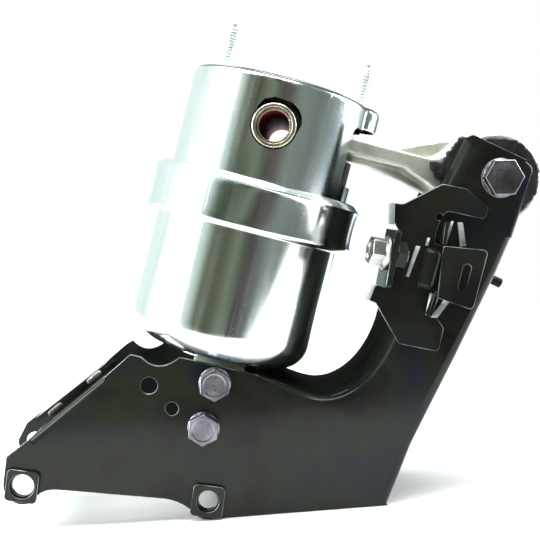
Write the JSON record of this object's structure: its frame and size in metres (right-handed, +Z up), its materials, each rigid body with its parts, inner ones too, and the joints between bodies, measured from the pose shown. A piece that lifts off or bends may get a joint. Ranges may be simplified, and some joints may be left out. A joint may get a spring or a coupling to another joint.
{
  "type": "hydraulic reservoir",
  "caption": "Fluid-filled plated steel can with threaded studs, bolted in a black pressed bracket, and a cast arm that swings on a rubber-bushed pivot into the can.",
  "frame": {"origin": "middle of the bounding box in X and Y, on the plane that the bracket's lower edges stand on", "axes": "+Z up, square to the bracket's standing edges; +X from the bracket's feet towards the upright with the pivot; +Y from the front plate to the rear plate, along the pivot bolt"},
  "size_m": [0.3224, 0.1228, 0.2819],
  "materials": {
    "black_e_coat": "gloss",
    "zinc_plate": "bright drawn zinc",
    "rubber": "matte",
    "cast_alloy": "as cast, matte",
    "yellow_zinc": "satin",
    "red_oxide": "matte",
    "black_stud": "blackened",
    "bare_steel": "satin",
    "bolt_steel": "satin",
    "weld_metal": "rough"
  },
  "bodies": {
    "root": {"bracket_front_shell": "black_e_coat", "bracket_rear_shell": "black_e_coat", "foot_pad_left": "black_e_coat", "foot_pad_right": "black_e_coat", "weld_upper": "weld_metal", "weld_lower": "weld_metal", "lug_bolt_upper": "bolt_steel", "lug_nut_upper": "bolt_steel", "lug_bolt_lower": "bolt_steel", "lug_nut_lower": "bolt_steel", "pivot_washer": "bolt_steel", "pivot_bolt": "bolt_steel", "pivot_nut": "bolt_steel", "pivot_inner_sleeve": "bare_steel", "eye_snubber_front": "rubber", "eye_snubber_rear": "rubber", "aux_plate": "black_e_coat", "forward_tab": "black_e_coat", "clip_bolt": "bolt_steel", "clip_nut": "black_e_coat", "half_round_strap": "black_e_coat", "slotted_tab": "black_e_coat", "gusset_upper": "black_e_coat", "gusset_lower": "black_e_coat", "side_stud": "black_stud", "can_lower_shell": "zinc_plate", "can_upper_shell": "zinc_plate", "crimp_band": "zinc_plate", "stud_left": "zinc_plate", "stud_right": "zinc_plate", "lower_lug": "cast_alloy", "lug_base_plate": "bare_steel", "track_plate_lower": "cast_alloy", "track_plate_upper": "cast_alloy", "bellows_diaphragm": "rubber", "main_rubber_spring": "rubber", "travel_stop_pad": "rubber"},
    "arm": {"arm_casting": "cast_alloy", "cross_sleeve": "yellow_zinc", "sleeve_liner": "red_oxide", "inner_core": "cast_alloy", "pivot_bushing": "rubber"},
    "decoupler": {"decoupler_disc": "rubber"}
  },
  "joints": [
    {"name": "arm_swing", "type": "hinge", "parent": "root", "child": "arm", "pos_m": [0.13575, 0, 0.179], "axis": [0, 1, 0], "range_deg": [-0.2, 0.6], "stiffness_Nm_per_rad": 150, "deforming": ["main_rubber_spring"]},
    {"name": "decoupler_float", "type": "slide", "parent": "root", "child": "decoupler", "axis": [0.3156, 0, 0.9489], "range_m": [-0.0006, 0.0006]}
  ]
}
